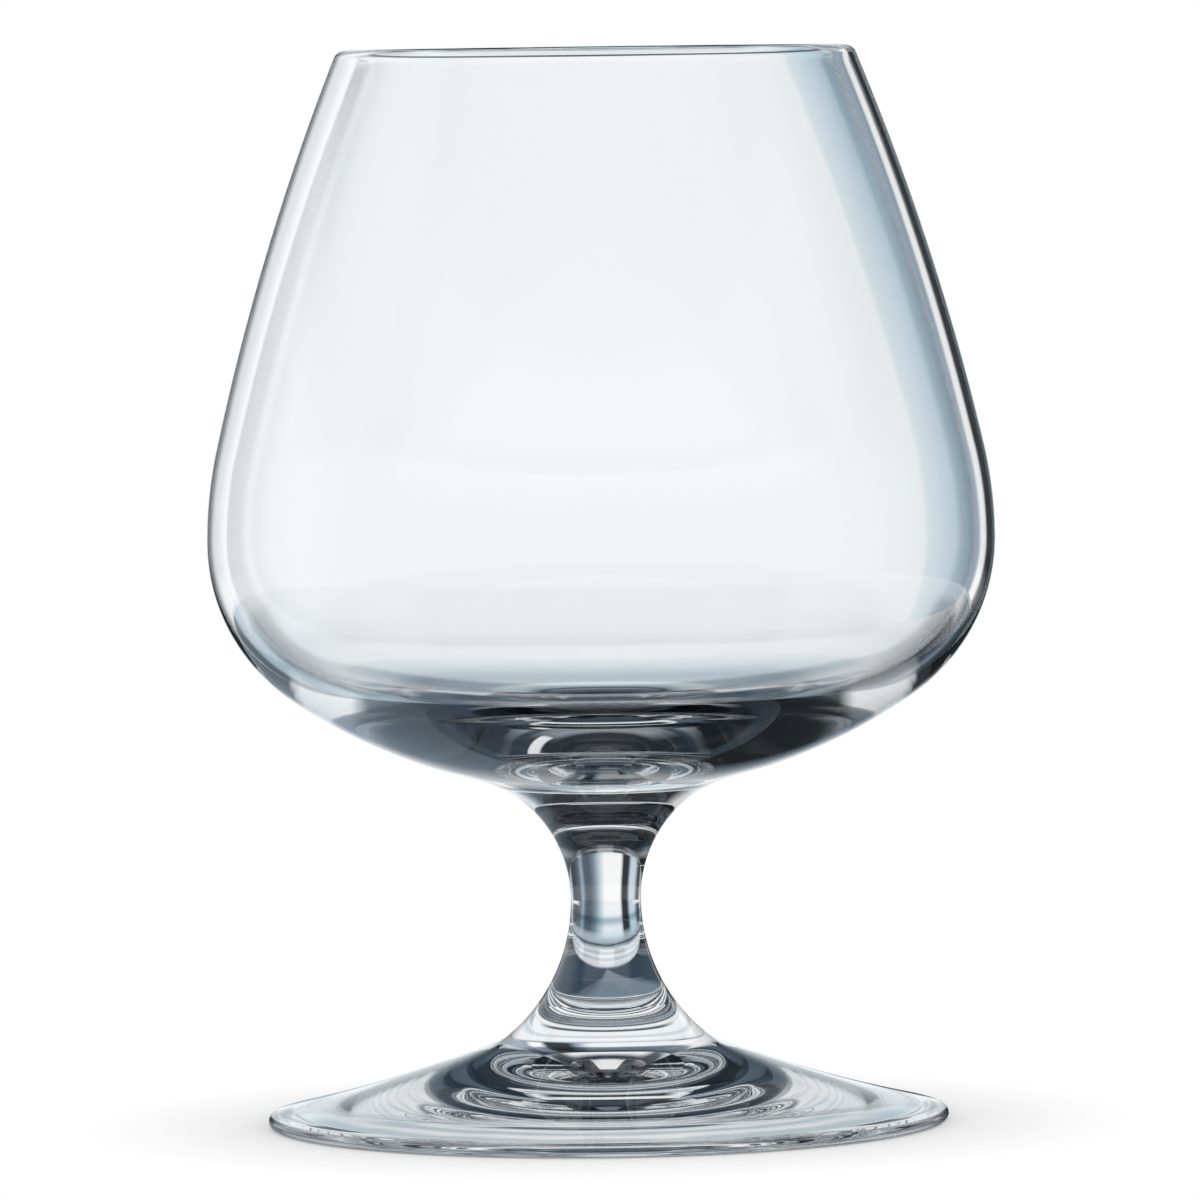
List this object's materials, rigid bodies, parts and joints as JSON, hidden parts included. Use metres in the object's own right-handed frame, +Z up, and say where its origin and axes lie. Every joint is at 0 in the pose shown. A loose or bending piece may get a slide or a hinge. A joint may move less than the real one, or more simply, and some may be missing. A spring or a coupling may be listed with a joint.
{
  "type": "brandy snifter",
  "caption": "Stemmed brandy glass with a wide belly drawn in to a narrower mouth, a short waisted stem and a shallow conical foot, for swirling and sipping spirits.",
  "frame": {"origin": "on the axis of the glass, in the plane that the foot stands on", "axes": "+Z up along the axis, from the foot to the mouth; X and Y are any two directions across a round glass"},
  "size_m": [0.082, 0.082, 0.112],
  "materials": {
    "glass": "clear, fire polished"
  },
  "bodies": {
    "root": {"bowl": "glass", "stem": "glass", "foot": "glass"}
  },
  "joints": []
}
